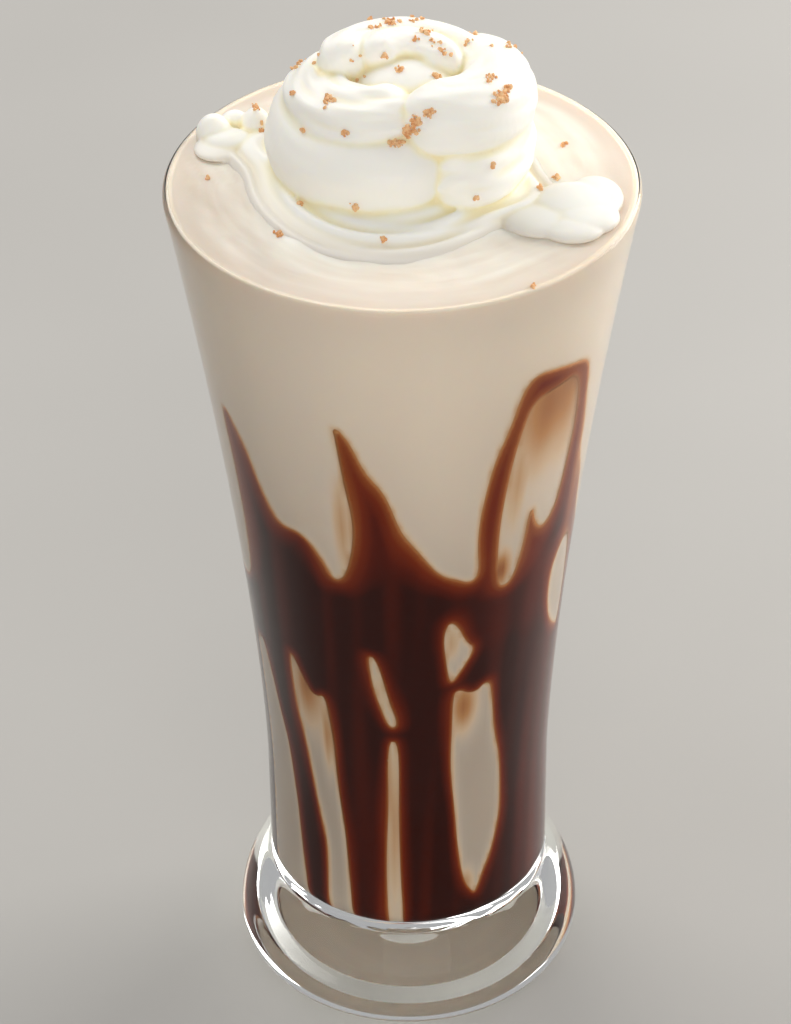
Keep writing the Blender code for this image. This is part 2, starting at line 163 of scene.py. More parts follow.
# Upper edge across the front as azimuth in degrees and height
FRONT_EDGE = [
    (-74, 0.092), (-67, 0.095), (-65, 0.101), (-64, 0.120), (-65, 0.133), (-62.5, 0.1355), (-58, 0.133),
    (-54, 0.128), (-50, 0.122), (-46, 0.1165), (-42, 0.1145), (-35, 0.115), (-31, 0.1135), (-28, 0.110),
    (-24, 0.1055), (-20, 0.107), (-16.5, 0.113), (-15.5, 0.120), (-17.5, 0.130), (-20.5, 0.1435),
    (-17, 0.1415), (-12.5, 0.135), (-8, 0.1295), (-3, 0.124), (2, 0.1165), (8, 0.1105), (16, 0.107),
    (22, 0.105), (25.5, 0.107), (24.2, 0.115), (24.2, 0.122), (26.5, 0.132), (31, 0.140), (33.5, 0.148),
    (38, 0.1503), (48, 0.1485), (58, 0.1468), (62.5, 0.1425), (65.5, 0.131), (67, 0.123), (72, 0.116),
    (78, 0.106),
]
# The same round the back, which the photograph doesn't show
BACK_EDGE = [
    (84, 0.100), (88, 0.104), (91, 0.128), (95, 0.112), (103, 0.1035), (112, 0.1015), (117, 0.117),
    (121, 0.138), (128, 0.121), (137, 0.106), (146, 0.104), (148, 0.118), (153, 0.139), (162, 0.144),
    (171, 0.141), (176, 0.124), (179, 0.107), (188, 0.101), (198, 0.106), (204, 0.115),
    (208.5, 0.133), (213, 0.118),
    (222, 0.103), (231, 0.1005), (236, 0.1085), (240, 0.125), (243, 0.147), (248, 0.126), (256, 0.110),
    (264, 0.1035), (270, 0.099), (276, 0.094),
]
# Bare places across the front, each as azimuths and heights
FRONT_GAPS = [
    [(-67, 0.080), (-63, 0.072), (-59, 0.064), (-55, 0.057), (-53, 0.048), (-50, 0.038), (-48, 0.030),
     (-45, OPEN_BELOW), (-76, OPEN_BELOW), (-74, 0.050), (-75, 0.076)],
    [(-48, 0.084), (-47, 0.070), (-44, 0.062), (-41, 0.052), (-37, 0.043), (-34, 0.035), (-33, OPEN_BELOW),
     (-22, OPEN_BELOW), (-24.5, 0.040), (-27, 0.048), (-29, 0.058), (-29.5, 0.066), (-31, 0.076),
     (-37, 0.074), (-42, 0.078)],
    [(-13, 0.0885), (-11, 0.080), (-8, 0.073), (-5, 0.0705), (-2.5, 0.0715), (-4, 0.076), (-7, 0.082),
     (-10.5, 0.088)],
    [(-6, 0.067), (-6.5, 0.050), (-8, OPEN_BELOW), (0, OPEN_BELOW), (-2, 0.050), (-2.5, 0.067)],
    [(15.5, 0.0965), (13.3, 0.0925), (15.5, 0.086), (17.5, 0.0805), (20.5, 0.0835), (26, 0.0885),
     (22, 0.0905), (18.5, 0.0955)],
    [(19.5, 0.0795), (18, 0.076), (18.5, 0.068), (19.5, 0.058), (21.5, 0.048), (23, 0.038), (26, 0.030),
     (30.5, 0.0255), (33, 0.027), (37, 0.032), (41, 0.038), (43.5, 0.044), (43, 0.050), (41, 0.058),
     (38, 0.066), (35, 0.074), (33, 0.0798), (26, 0.077)],
    [(61, 0.099), (60.5, 0.092), (64, 0.086), (70, 0.082), (76, 0.079), (77, 0.086), (74.5, 0.096),
     (71, 0.103), (66, 0.103)],
    [(32.5, 0.103), (31.5, 0.112), (31.5, 0.120), (33, 0.131), (35, 0.139), (37.5, 0.1438), (45, 0.1448),
     (53, 0.1450), (57, 0.141), (58, 0.131), (57.5, 0.124), (56.5, 0.117), (54, 0.1135), (50, 0.1115),
     (46.5, 0.1135), (44, 0.119), (42, 0.117), (41.3, 0.108), (39.5, 0.103), (36, 0.1015)],
]
BACK_GAPS = [
    [(97, 0.086), (93, 0.074), (94, 0.052), (96.5, OPEN_BELOW), (103, OPEN_BELOW), (101, 0.046),
     (101.5, 0.070)],
    [(113, 0.092), (110, 0.082), (112, 0.072), (116.5, 0.078), (116.5, 0.088)],
    [(127, 0.078), (123, 0.062), (121, 0.040), (121.5, OPEN_BELOW), (131, OPEN_BELOW), (130, 0.044),
     (131, 0.064)],
    [(150, 0.088), (146.5, 0.074), (148, 0.050), (150, 0.030), (154, 0.026), (157, 0.036), (158, 0.056),
     (155, 0.078)],
    [(153.5, 0.108), (153, 0.119), (156.5, 0.133), (162, 0.1385), (168, 0.135), (171, 0.121), (170, 0.109),
     (161, 0.1055)],
    [(176, 0.070), (173, 0.058), (174, OPEN_BELOW), (180.5, OPEN_BELOW), (180, 0.056)],
    [(197, 0.090), (192.5, 0.078), (193, 0.060), (196.5, 0.046), (200.5, 0.058), (202, 0.078)],
    [(219, 0.084), (214.5, 0.068), (213, 0.044), (212.5, OPEN_BELOW), (222.5, OPEN_BELOW), (223, 0.046),
     (223.5, 0.068)],
    [(240, 0.094), (237, 0.084), (239.5, 0.068), (243, 0.074), (243, 0.088)],
    [(256, 0.080), (252, 0.060), (252.5, 0.036), (255, OPEN_BELOW), (262, OPEN_BELOW), (261.5, 0.040),
     (262, 0.062)],
    [(275, 0.086), (272, 0.074), (273.5, 0.058), (278, 0.064), (278.5, 0.078)],
]
# Thin film that the syrup leaves on the drink: azimuth, height, half width in degrees, half height, strength
FILMS = [
    (-39, 0.076, 7, 0.011, 0.30), (-32, 0.066, 3, 0.010, 0.22), (-19.5, 0.120, 3.0, 0.013, 0.24),
    (47, 0.1425, 30, 0.017, 0.26), (36, 0.127, 4, 0.014, 0.20), (34, 0.106, 4, 0.005, 0.34),
    (-4, 0.045, 3.5, 0.026, 0.20), (23.5, 0.0745, 6.5, 0.007, 0.27), (-8, 0.080, 3, 0.009, 0.12),
    (17, 0.091, 3.5, 0.005, 0.18), (27, 0.029, 4.5, 0.004, 0.22),
]
# How fast a film fades outward, and its waves, drawn out along the runs
FILM_FADE = 1.2
FILM_WAVES = 0.15
FILM_WAVES_STRETCH = 0.5
# Past this azimuth no film lies above the syrup's upper edge, over which it ends between these depths
LOOP_START = -8
FILM_END = (-0.0004, 0.0006)
HALO_STRENGTH = 0.20
HALO_REACH = 0.0005

# Whipped cream, as arcs about a centre: angles from +X towards +Y, distances, heights, rise and thickness
CREAM_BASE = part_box("whipped_cream")[0][2]
SKIRT_CENTRE = (-0.002, 0.0)
SKIRT_RADIUS = 0.0265
SKIRT_HEIGHT = 0.0045
SKIRT_RIPPLE = 0.0008
SKIRT_EDGE_POWER = 1.9
SKIRT_SINK = 0.0010
SKIRT_STREAK = 0.00036
# Its streaks are two sets of rings that wander as they go round, the second weaker, and fade at the edge
STREAK_RINGS = (43, 69)
STREAK_WANDER = (2.4, 1.5)
STREAK_SECOND = 0.7
STREAK_FADE = 4
SKIRT_LOBES = [(155, 0.0075, 13), (-18, 0.006, 17)]
CORE_CENTRE = (0.001, 0.003)
CORE_SIZES = (0.016, 0.014, 0.0205)
FOLDS = {
    "lower left": dict(ridges=0.5, centre=(-0.002, 0.003), angles=(55, 312), distances=(0.0145, 0.0108),
                       heights=(0.0060, 0.0068), rise=0, radii=(0.0092, 0.0080)),
    "lower right": dict(ridges=1.7, centre=(0.001, 0.003), angles=(-78, 72), distances=(0.0126, 0.0138),
                        heights=(0.0054, 0.0065), rise=0, radii=(0.0078, 0.0092)),
    "middle left": dict(ridges=1.8, centre=(-0.004, 0.003), angles=(80, 322), distances=(0.0108, 0.0078),
                        heights=(0.0092, 0.0142), rise=0.0005, radii=(0.0078, 0.0064)),
    "middle right": dict(ridges=1.0, centre=(0.006, 0.003), angles=(-128, 85), distances=(0.0092, 0.0100),
                         heights=(0.0156, 0.0132), rise=0, radii=(0.0066, 0.0078)),
    "top": dict(ridges=1.3, centre=(0.001, 0.0), angles=(168, 8), distances=(0.0123, 0.0140),
                heights=(0.0196, 0.0166), rise=0.0004, radii=(0.0044, 0.0042)),
    "crown": dict(ridges=1.6, centre=(0.001, 0.0015), angles=(160, 10), distances=(0.0068, 0.0080),
                  heights=(0.0206, 0.0176), rise=0.0003, radii=(0.0036, 0.0042)),
}
FOLD_POINTS = 60
FOLD_SIDES = 72
# The square of a fold's smallest radius at its tips, as a share of its full radius
FOLD_TIP = 0.0004
# Ridges along a fold: how many round it, their depth as a share of the radius, and their twist
RIDGES = [(5, 0.022, 0.9), (9, 0.022, -1.4), (16, 0.011, 2.2)]
CREAM_VOXEL = 0.00038
# Smoothing after the parts are joined: strength and rounds
SOFTEN = 0.5
SOFTEN_ROUNDS = 3
# Creases, which get painted shade, are found against a surface smoothed this many times, and this deep counts
# as full
HOLLOW_ROUNDS = 30
HOLLOW_DEPTH = 0.0012
# The cream takes the drink's colour near its foot: the blend at level 0, its height, and its strength
FOOT_BLEND = 1.1
FOOT_BLEND_HEIGHT = 0.0014
FOOT_BLEND_STRENGTH = 0.6
DABS = [
    ((-0.0325, 0.0145), (0.0032, 0.0028, 0.0042)),
    ((-0.0252, 0.0165), (0.0028, 0.0030, 0.0042)),
    ((0.0288, -0.0092), (0.0076, 0.0066, 0.0021)),
    ((0.0282, -0.0165), (0.0054, 0.0044, 0.0014)),
]
# Low lobes that fill in round the dabs
DAB_LOBES = [
    ((-0.0300, 0.0122), (0.0046, 0.0034, 0.0022)),
    ((-0.0318, 0.0102), (0.0042, 0.0042, 0.0009)),
    ((-0.0290, 0.0178), (0.0028, 0.0022, 0.0030)),
    ((0.0302, -0.0130), (0.0062, 0.0056, 0.0018)),
    ((0.0236, -0.0140), (0.0070, 0.0052, 0.0015)),
    ((0.0325, -0.0070), (0.0048, 0.0066, 0.0016)),
]

# Crumbs seen in the photograph: pixel, spread in pixels and number of grains
CRUMB_CLUMPS = [
    ((391, 22), 4.5, 12), ((424, 33), 4.0, 7), ((383, 55), 2.5, 5), ((399, 70), 3.0, 6), ((436, 76), 2.5, 5),
    ((293, 93), 1.8, 4), ((329, 101), 4.0, 10), ((501, 99), 6.5, 26), ((490, 78), 3.5, 7),
    ((508, 88), 3.0, 7), ((429, 113), 4.5, 12), ((417, 121), 5.0, 16), ((409, 131), 5.5, 24),
    ((396, 143), 5.0, 14), ((345, 133), 2.4, 6), ((303, 130), 2.0, 4), ((256, 108), 3.2, 7),
    ((208, 178), 2.0, 4), ((563, 145), 2.6, 4), ((556, 178), 3.0, 6), ((540, 188), 2.4, 4),
    ((476, 199), 2.2, 4), ((493, 167), 1.8, 3), ((384, 239), 2.6, 5), ((278, 234), 2.6, 5),
    ((534, 286), 1.8, 3), ((354, 207), 3.0, 5), ((300, 204), 2.4, 4),
]
CRUMB_CROWDING = 1.9
# A clump's spread holds this many standard deviations across and up the picture
CLUMP_ACROSS = 1.6
CLUMP_UP = 2.0
CRUMB_SIZES = (0.00018, 0.00046)
CRUMB_SEED = 11
# Least and most stretch of a grain along its three axes, its unevenness, and how far its middle stands out
GRAIN_STRETCH = ((0.7, 1.5), (0.7, 1.3), (0.6, 1.0))
GRAIN_UNEVEN = (0.8, 1.2)
GRAIN_LIFT = 0.35
# Clumps over the back: how many, their directions and distances in skirt radii, their grains and their spread
BACK_CRUMBS = 26
BACK_DIRECTIONS = (20, 160)
BACK_DISTANCES = (0.2, 1.05)
BACK_GRAINS = (2, 7)
BACK_SPREAD = 0.0006
# Grains below the drink's level by more than this have missed the glass
CRUMB_DEPTH = 0.002

# The photograph's size in pixels, for what is placed by its pixels
PHOTO_WIDTH = 791
PHOTO_HEIGHT = 1024

# A hair between the foot and the floor, so that their faces don't coincide
FLOOR_CLEARANCE = 0.0001

# The camera, from the photograph's perspective
CAMERA_PLACE = (0.0, -0.509, 0.483)
CAMERA_PITCH = 37.0
CAMERA_YAW = 0.2
CAMERA_ROLL = -0.67
CAMERA_LENS = 123.05
CLIP_START = 0.01
SENSOR = 36.0

# Studio: the floor's width, and each light's name, place, width, power and colour, all aimed at one point
FLOOR_SIZE = 6
WORLD_COLOUR = (0.97, 0.97, 0.98, 1)
WORLD_STRENGTH = 0.42
LIGHTS_AIM = (0, 0, 0.12)
LIGHTS = [
    ("window", (0.64, 0.42, 0.42), 0.50, 6.6, (1.0, 0.98, 0.95)),
    ("back", (-0.35, 0.50, 0.80), 0.60, 4.6, (1.0, 0.98, 0.95)),
    ("fill", (0.08, -0.95, 0.42), 0.80, 4.1, (1.0, 0.98, 0.96)),
]


def outer_radius(z):
    """The glass body's outer radius above the foot: straight to the waist, then flaring to the rim."""
    share = max(0.0, z - WAIST_HEIGHT) / (GLASS_HEIGHT - WAIST_HEIGHT)
    return WAIST_RADIUS + (RIM_RADIUS - WAIST_RADIUS) * share**FLARE_POWER


def inner_radius(z):
    """The glass's inner radius, with the rounded corner above the floor."""
    wall = WAIST_WALL + (RIM_WALL - WAIST_WALL) * z / GLASS_HEIGHT
    below = min(max(FLOOR_HEIGHT + FLOOR_CORNER - z, 0.0), FLOOR_CORNER)
    return outer_radius(z) - wall - FLOOR_CORNER + math.sqrt(FLOOR_CORNER**2 - below**2)


def steps(start, end, count):
    """Evenly spaced values from start to end, both included."""
    return [start + (end - start) * i / count for i in range(count + 1)]


def link(name, mesh, material):
    """A piece that rides on the one body and takes its finish from a material slot."""
    piece = bpy.data.objects.new(name, mesh)
    bpy.context.scene.collection.objects.link(piece)
    mesh.materials.append(material)
    mesh.shade_smooth()
    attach(piece, "root")
    return piece


def mesh_from(name, points, faces):
    """A mesh from points and from faces that count them."""
    mesh = bpy.data.meshes.new(name)
    mesh.from_pydata([tuple(p) for p in points], [], [tuple(int(i) for i in f) for f in faces])
    mesh.validate()
    return mesh


def turned_mesh(name, profile, turns):
    """A closed body from a profile that runs from the axis, down its outer side, back to the axis."""
    ring = len(profile) - 2
    points = [(0, 0, profile[0][1])]
    for i in range(turns):
        angle = 2 * math.pi * i / turns
        points += [(r * math.cos(angle), r * math.sin(angle), z) for r, z in profile[1:-1]]
    points.append((0, 0, profile[-1][1]))
    last = len(points) - 1
    faces = []
    for i in range(turns):
        here, there = 1 + i * ring, 1 + (i + 1) % turns * ring
        faces.append((0, here, there))
        faces += [(here + k, here + k + 1, there + k + 1, there + k) for k in range(ring - 1)]
        faces.append((here + ring - 1, last, there + ring - 1))
    return mesh_from(name, points, faces)


class Nodes:
    """A material's node tree with short ways to add and join nodes."""

    def __init__(self, name):
        self.material = bpy.data.materials.new(name)
        self.material.use_nodes = True
        self.tree = self.material.node_tree
        self.shader = self.tree.nodes["Principled BSDF"]
        self.output = self.tree.nodes["Material Output"]

    def add(self, kind, **values):
        node = self.tree.nodes.new(kind)
        for key, value in values.items():
            setattr(node, key, value)
        return node

    def join(self, start, end):
        self.tree.links.new(start, end)

    def set(self, **values):
        """Constants on the shader's own sockets, by their names."""
        for key, value in values.items():
            self.shader.inputs[key.replace("_", " ")].default_value = value

    def noise(self, scale, detail=3.0, roughness=0.5, squash=None):
        """Noise on the object's own coordinates, stretched along Z by squash."""
        coordinates = self.add("ShaderNodeTexCoord")
        mapping = self.add("ShaderNodeMapping")
        if squash:
            mapping.inputs["Scale"].default_value = squash
        noise = self.add("ShaderNodeTexNoise")
        noise.inputs["Scale"].default_value = scale
        noise.inputs["Detail"].default_value = detail
        noise.inputs["Roughness"].default_value = roughness
        self.join(coordinates.outputs["Object"], mapping.inputs["Vector"])
        self.join(mapping.outputs["Vector"], noise.inputs["Vector"])
        return noise.outputs["Fac"]

    def ramp(self, factor, stops):
        """Colours against a factor, from stops of position and colour."""
        ramp = self.add("ShaderNodeValToRGB")
        while len(ramp.color_ramp.elements) < len(stops):
            ramp.color_ramp.elements.new(0.5)
        for element, (position, colour) in zip(ramp.color_ramp.elements, stops):
            element.position = position
            element.color = (*colour, 1) if len(colour) == 3 else colour
        self.join(factor, ramp.inputs["Fac"])
        return ramp.outputs["Color"]

    def mix(self, factor, first, second):
        """A blend of two colours, each a constant or a socket."""
        mix = self.add("ShaderNodeMix", data_type="RGBA")
        self.join(factor, mix.inputs["Factor"])
        for socket, value in ((mix.inputs["A"], first), (mix.inputs["B"], second)):
            if isinstance(value, tuple):
                socket.default_value = (*value, 1)
            else:
                self.join(value, socket)
        return mix.outputs["Result"]

    def bump(self, height, strength, distance):
        bump = self.add("ShaderNodeBump")
        bump.inputs["Strength"].default_value = strength
        bump.inputs["Distance"].default_value = distance
        self.join(height, bump.inputs["Height"])
        self.join(bump.outputs["Normal"], self.shader.inputs["Normal"])

    def colour(self, socket):
        self.join(socket, self.shader.inputs["Base Color"])


def srgb(red, green, blue):
    """A display colour from 0 to 255 as the linear colour that the shaders take, by the sRGB curve."""
    linear = []
    for part in (red, green, blue):
        linear.append(part / 255 / 12.92 if part < 11 else ((part / 255 + 0.055) / 1.055) ** 2.4)
    return tuple(linear)


def glass_material():
    """Clear glass that lets lamps through to the drink behind it."""
    nodes = Nodes("clear_glass")
    nodes.set(Base_Color=(0.985, 0.995, 0.99, 1), Roughness=0.012, IOR=1.48, Transmission_Weight=1.0,
              Specular_Tint=(0.12, 0.12, 0.12, 1))
    nodes.bump(nodes.noise(scale=60, detail=2), strength=0.04, distance=0.0004)
    clear = nodes.add("ShaderNodeBsdfTransparent")
    clear.inputs["Color"].default_value = (0.93, 0.95, 0.94, 1)
    path = nodes.add("ShaderNodeLightPath")
    mix = nodes.add("ShaderNodeMixShader")
    nodes.join(path.outputs["Is Shadow Ray"], mix.inputs["Fac"])
    nodes.join(nodes.shader.outputs["BSDF"], mix.inputs[1])
    nodes.join(clear.outputs["BSDF"], mix.inputs[2])
    nodes.join(mix.outputs["Shader"], nodes.output.inputs["Surface"])
    return nodes.material


SMOOTHIE_SIDE = srgb(222, 208, 192)
SMOOTHIE_LIGHT = srgb(226, 211, 192)
SMOOTHIE_LOW_SHADE = srgb(181, 166, 150)
CREAM_WHITE = srgb(255, 252, 241)
# Colour against thickness, from the bare drink over a tan film to the syrup's core
CHOCOLATE_STOPS = [
    (0.0, SMOOTHIE_SIDE), (0.10, srgb(212, 186, 156)), (0.24, srgb(186, 134, 84)), (0.36, srgb(140, 72, 32)),
    (0.50, srgb(112, 38, 13)), (0.70, srgb(84, 22, 7)), (1.0, srgb(48, 12, 6)),
]


def smoothie_material():
    """A pale banana drink, whiter where cream has melted into its top."""
    nodes = Nodes("smoothie_drink")
    nodes.set(Roughness=0.35, Specular_IOR_Level=0.3, Subsurface_Weight=0.25,
              Subsurface_Radius=(0.004, 0.002, 0.001), Subsurface_Scale=1.0)
    clouds = nodes.noise(scale=45, detail=4, roughness=0.6, squash=(1, 1, 0.5))
    cloud = nodes.ramp(clouds, [(0.35, SMOOTHIE_SIDE), (0.7, SMOOTHIE_LIGHT)])
    melt = nodes.add("ShaderNodeAttribute", attribute_name="melt")
    stain = nodes.add("ShaderNodeAttribute", attribute_name="stain")
    stained = nodes.ramp(stain.outputs["Fac"], [(0.0, (0, 0, 0)), (0.1, (1, 1, 1))])
    low = nodes.add("ShaderNodeAttribute", attribute_name="low")
    # Darker and warmer low down: partly painted shade, partly a chocolate tint
    creamy = nodes.mix(melt.outputs["Fac"], nodes.mix(low.outputs["Fac"], cloud, SMOOTHIE_LOW_SHADE), CREAM_WHITE)
    nodes.colour(nodes.mix(stained, creamy, nodes.ramp(stain.outputs["Fac"], CHOCOLATE_STOPS)))
    nodes.bump(nodes.noise(scale=900, detail=3), strength=0.12, distance=0.0002)
    return nodes.material


def syrup_material():
    """Chocolate syrup whose colour follows its thickness, from a tan film to a near black core, with painted
    light from the right making it lighter and redder on that side.
    """
    nodes = Nodes("chocolate")
    nodes.set(Roughness=0.3, Specular_IOR_Level=0.02, Subsurface_Weight=0.0)
    thickness_and_light = nodes.add("ShaderNodeAttribute", attribute_name="thickness_and_light")
    nodes.colour(nodes.ramp(thickness_and_light.outputs["Fac"], CHOCOLATE_STOPS))
    return nodes.material


def cream_material():
    """Whipped cream: warm white, with painted shade making it darker and more yellow in the creases, and like
    the drink where it melts.
    """
    nodes = Nodes("cream")
    nodes.set(Roughness=0.42, Specular_IOR_Level=0.35, Subsurface_Weight=0.35,
              Subsurface_Radius=(0.005, 0.004, 0.0025), Subsurface_Scale=1.0)
    crease_shade = nodes.add("ShaderNodeAttribute", attribute_name="crease_shade")
    # Painted shade: the creases are drawn darker and more yellow
    crease_shaded = nodes.ramp(crease_shade.outputs["Fac"], [
        (0.48, CREAM_WHITE), (0.64, srgb(254, 248, 226)), (0.90, srgb(250, 238, 198)),
    ])
    melt = nodes.add("ShaderNodeAttribute", attribute_name="melt")
    nodes.colour(nodes.mix(melt.outputs["Fac"], crease_shaded, SMOOTHIE_LIGHT))
    nodes.bump(nodes.noise(scale=700, detail=3), strength=0.12, distance=0.0002)
    return nodes.material


def crumb_material():
    """Dry golden brown crumbs, some lighter than others."""
    nodes = Nodes("crumb")
    nodes.set(Roughness=0.7, Specular_IOR_Level=0.25)
    speckle = nodes.noise(scale=700, detail=2)
    nodes.colour(nodes.ramp(speckle, [(0.35, srgb(222, 160, 106)), (0.65, srgb(244, 204, 156))]))
    return nodes.material


def glass_profile():
    """The glass's section from the inner floor, up and over the rim, down to the foot and in underneath."""
    lip = RIM_WALL / 2
    lip_height = GLASS_HEIGHT - lip
    lip_centre = (inner_radius(lip_height) + outer_radius(lip_height)) / 2
    corner = [FLOOR_HEIGHT + FLOOR_CORNER * (1 - math.cos(a)) for a in steps(0, math.pi / 2, ARC_STEPS)]
    points = [(0, FLOOR_HEIGHT)]
    points += [(r, FLOOR_HEIGHT) for r in steps(0, inner_radius(FLOOR_HEIGHT), FLOOR_STEPS)[1:-1]]
    points += [(inner_radius(z), z) for z in corner]
    points += [(inner_radius(z), z) for z in steps(FLOOR_HEIGHT + FLOOR_CORNER, lip_height, WALL_STEPS)[1:]]
    for turn in steps(math.pi, 0, ARC_STEPS)[1:-1]:
        points.append((lip_centre + lip * math.cos(turn), lip_height + lip * math.sin(turn)))
    points += [(outer_radius(z), z) for z in steps(lip_height, FOOT_TOP, WALL_STEPS)]
    for share in (even**FOOT_ROW_POWER for even in steps(0, 1, FOOT_STEPS)[1:]):
        swell = math.sin(share * math.pi / 2) ** FOOT_CURVE
        radius = WAIST_RADIUS + (FOOT_RADIUS - WAIST_RADIUS) * swell
        points.append((radius, FOOT_TOP + (FOOT_EDGE_HEIGHT - FOOT_TOP) * share))
    for turn in steps(0, math.pi / 2, ARC_STEPS)[1:]:
        radius = STANDING_RADIUS + (FOOT_RADIUS - STANDING_RADIUS) * math.cos(turn)
        points.append((radius, FOOT_EDGE_HEIGHT * (1 - math.sin(turn))))
    points += [(r, 0) for r in steps(STANDING_RADIUS, DIMPLE_RADIUS, RING_STEPS)[1:]]
    for share in steps(0, 1, DIMPLE_STEPS)[1:]:
        rise = DIMPLE_DEPTH * (1 - math.cos(share * math.pi)) / 2
        points.append((DIMPLE_RADIUS - DIMPLE_SLOPE * share, rise))
    for r in steps(DIMPLE_RADIUS - DIMPLE_SLOPE, 0, UNDERSIDE_STEPS)[1:]:
        calm = min(1, (DIMPLE_RADIUS - DIMPLE_SLOPE - r) / RIPPLE_LENGTH)
        ripple = math.sin(2 * math.pi * r / RIPPLE_LENGTH)
        ripple += RIPPLE_SECOND_HEIGHT * math.sin(2 * math.pi * r / (RIPPLE_SECOND_LENGTH * RIPPLE_LENGTH))
        points.append((r, DIMPLE_DEPTH + RIPPLE_HEIGHT * calm * ripple))
    return points


def make_glass():
    """The clear glass with its foot, one turned body."""
    mesh = turned_mesh("glass_body", glass_profile(), TURN_STEPS)
    piece = link("glass_body", mesh, glass_material())
    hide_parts("glass")


def drink_overlap(z):
    """How far the drink reaches into the wall: more at the brim, which it wets."""
    share = min(max((z - BRIM_START) / (DRINK_LEVEL - BRIM_START), 0), 1)
    return DRINK_OVERLAP + (BRIM_OVERLAP - DRINK_OVERLAP) * share**2


def store(mesh, name, values):
    """Keeps one number for each point of a mesh, for its material."""
    attribute = mesh.attributes.new(name, "FLOAT", "POINT")
    attribute.data.foreach_set("value", np.asarray(values, np.float32))


def make_smoothie():
    """The drink up to the rim, reaching just into the wall, its top uneven and streaked with cream."""
    floor = FLOOR_HEIGHT - DRINK_OVERLAP
    points = [(0, DRINK_LEVEL + DRINK_DOME)]
    edge = inner_radius(DRINK_LEVEL) + drink_overlap(DRINK_LEVEL)
    for r in steps(0, edge, DRINK_TOP_STEPS)[1:]:
        points.append((r, DRINK_LEVEL + DRINK_DOME * (1 - (r / edge) ** 2)))
    rows = steps(DRINK_LEVEL, FLOOR_HEIGHT + FLOOR_CORNER, DRINK_WALL_STEPS)[1:]
    points += [(inner_radius(z) + drink_overlap(z), z) for z in rows]
    for turn in steps(math.pi / 2, 0, DRINK_CORNER_STEPS)[1:]:
        z = FLOOR_HEIGHT + FLOOR_CORNER * (1 - math.cos(turn))
        points.append((inner_radius(z) + DRINK_OVERLAP * CORNER_SHARE, z - DRINK_OVERLAP * CORNER_SHARE))
    points.append((0, floor))
    mesh = turned_mesh("smoothie_drink", points, TURN_STEPS)
    melt = []
    for vert in mesh.vertices:
        flat = math.hypot(vert.co.x, vert.co.y)
        if vert.co.z < DRINK_LEVEL:
            melt.append(0)
            continue
        turn = math.atan2(vert.co.y, vert.co.x)
        lumps = noise.fractal(Vector((vert.co.x, vert.co.y, 0)) * RELIEF_SCALE, *FRACTAL)
        calm = min(1, (edge - flat) / CALM_WIDTH)
        from_skirt = flat / skirt_radius(math.degrees(turn))
        vert.co.z += DRINK_RELIEF * lumps * calm
        swirl = Vector((from_skirt * STREAKS_OUTWARD, turn * STREAKS_ROUND, STREAKS_LAYER))
        streaks = noise.fractal(swirl, *FRACTAL)
        melt.append(min(max(MELT_REACH - from_skirt + MELT_STREAKS * streaks, 0), 1) * calm * MELT_STRENGTH)
    store(mesh, "melt", melt)
    places = np.array([vert.co for vert in mesh.vertices])
    azimuth = np.degrees(np.arctan2(places[:, 0], -places[:, 1]))
    azimuth = (azimuth - FRONT_EDGE[0][0]) % 360 + FRONT_EDGE[0][0]
    _, _, stain = syrup_fields(azimuth, places[:, 2])
    height = places[:, 2]
    beside = (height < SYRUP_TOP_LIMIT + STAIN_ABOVE_SYRUP) & (height > FLOOR_HEIGHT + STAIN_ABOVE_FLOOR)
    store(mesh, "stain", np.where(beside, stain, 0))
    # Partly painted shade, partly a chocolate tint: darker towards the bottom
    store(mesh, "low", 1 - smooth_step(height, *LOW_SHADE_HEIGHTS))
    piece = link("smoothie_drink", mesh, smoothie_material())
    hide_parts("smoothie")


def smooth_outline(points, rounds=2):
    """An outline with its corners cut, closed."""
    points = np.array(points, float)
    for _ in range(rounds):
        after = np.roll(points, -1, axis=0)
        near = (1 - CORNER_CUT) * points + CORNER_CUT * after
        far = CORNER_CUT * points + (1 - CORNER_CUT) * after
        points = np.stack([near, far], 1).reshape(-1, 2)
    return points


def signed_distance(x, z, outline):
    """Distance from each point to a closed outline, negative inside."""
    nearest = np.full(x.shape, np.inf)
    inside = np.zeros(x.shape, bool)
    for (ax, az), (bx, bz) in zip(outline, np.roll(outline, -1, axis=0)):
        length = max((bx - ax) ** 2 + (bz - az) ** 2, 1e-18)
        share = np.clip(((x - ax) * (bx - ax) + (z - az) * (bz - az)) / length, 0, 1)
        nearest = np.minimum(nearest, (x - ax - share * (bx - ax)) ** 2 + (z - az - share * (bz - az)) ** 2)
        crosses = (az > z) != (bz > z)
        with np.errstate(divide="ignore", invalid="ignore"):
            inside ^= crosses & (x < (bx - ax) * (z - az) / (bz - az) + ax)
    return np.where(inside, -1, 1) * np.sqrt(nearest)


def waviness(azimuth, height, draw, size):
    """A smooth random field over the wall, periodic round it, from about -1 to 1."""
    total = np.zeros(azimuth.shape)
    for _ in range(WAVES):
        around = draw.randint(*WAVES_ROUND)
        upward = draw.uniform(-WAVES_CLIMB, WAVES_CLIMB)
        total += np.sin(np.radians(azimuth) * around + height * upward + draw.uniform(0, RANDOM_TURN))
    return total / WAVES**0.5 * size


def smooth_step(values, start, end):
    """From 0 at the start to 1 at the end, level at both."""
    share = np.clip((values - start) / (end - start), 0, 1)
    return share * share * (3 - 2 * share)


